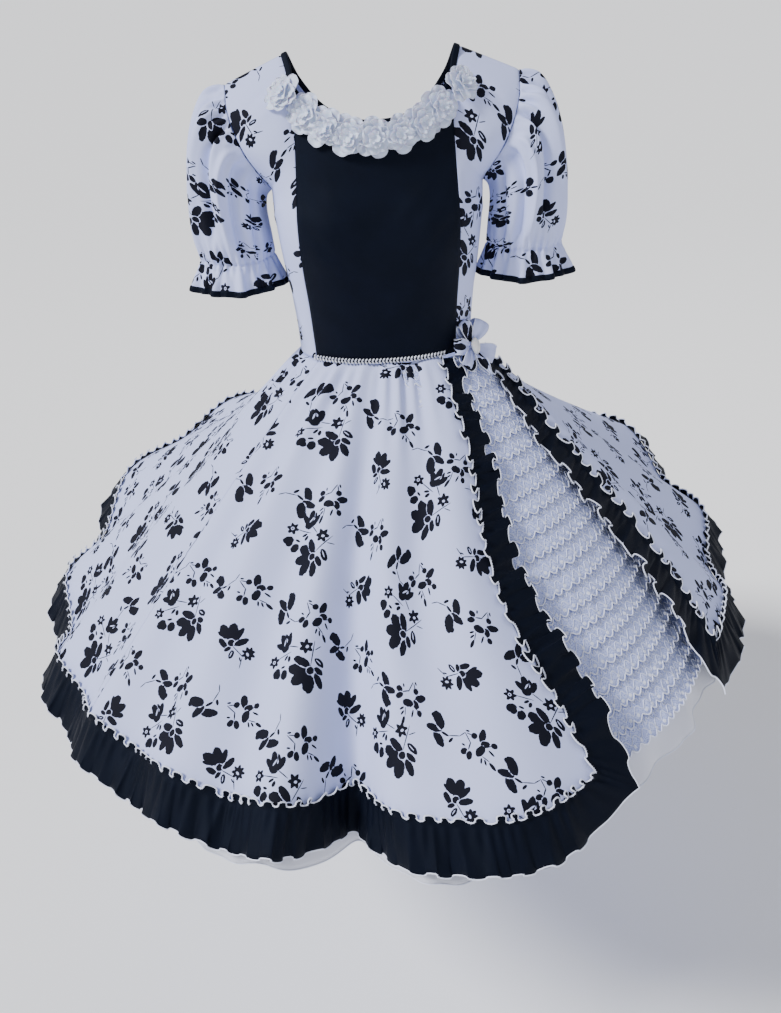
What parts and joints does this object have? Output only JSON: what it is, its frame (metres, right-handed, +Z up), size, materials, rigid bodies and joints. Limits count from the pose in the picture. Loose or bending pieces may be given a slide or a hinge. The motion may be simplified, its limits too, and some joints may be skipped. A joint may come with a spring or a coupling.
{
  "type": "cueca dress",
  "caption": "Knee-length full-skirted folk dress with puffed sleeves, scooped neck, high slit, gathered contrast ruffle and lace underskirt.",
  "frame": {"origin": "midway between the two neck ends of the shoulder seams, where the wearer's shoulders hold the dress", "axes": "+Z up the wearer's body, -Y out of the dress's front, +X to the wearer's left, where the slit is"},
  "size_m": [1.1091, 1.1799, 0.9245],
  "materials": {
    "printed_cloth": "matte plain weave, pale ground with a black flower print",
    "black_cloth": "matte plain weave, navy black",
    "lace": "bluish white lace",
    "organza": "stiff sheer cloth, rolled edge",
    "chiffon": "soft sheer petals",
    "braid": "silvery woven braid",
    "button": "pearly"
  },
  "bodies": {
    "root": {"bodice_back_left": "printed_cloth", "bodice_back_right": "printed_cloth", "bodice_centre_front": "black_cloth", "bodice_side_front_left": "printed_cloth", "bodice_side_front_right": "printed_cloth", "bow_button": "button", "bow_loop_1": "printed_cloth", "bow_loop_2": "printed_cloth", "bow_loop_3": "printed_cloth", "bow_loop_4": "printed_cloth", "bow_loop_5": "printed_cloth", "bow_loop_6": "printed_cloth", "neck_binding": "black_cloth", "neck_flower_1": "chiffon", "neck_flower_2": "chiffon", "neck_flower_3": "chiffon", "neck_flower_4": "chiffon", "neck_flower_5": "chiffon", "neck_flower_6": "chiffon", "neck_flower_7": "chiffon", "neck_flower_8": "chiffon", "neck_flower_9": "chiffon", "ruffle_hem_back": "black_cloth", "ruffle_hem_front": "black_cloth", "ruffle_hem_left": "black_cloth", "ruffle_hem_right": "black_cloth", "ruffle_slit_back": "black_cloth", "ruffle_slit_front": "black_cloth", "skirt_back": "printed_cloth", "skirt_front": "printed_cloth", "skirt_left": "printed_cloth", "skirt_right": "printed_cloth", "sleeve_binding_left": "black_cloth", "sleeve_binding_right": "black_cloth", "sleeve_left": "printed_cloth", "sleeve_right": "printed_cloth", "underskirt_flounce": "organza", "underskirt_lace": "lace", "underskirt_plain": "lace", "waist_braid": "braid"}
  },
  "joints": []
}
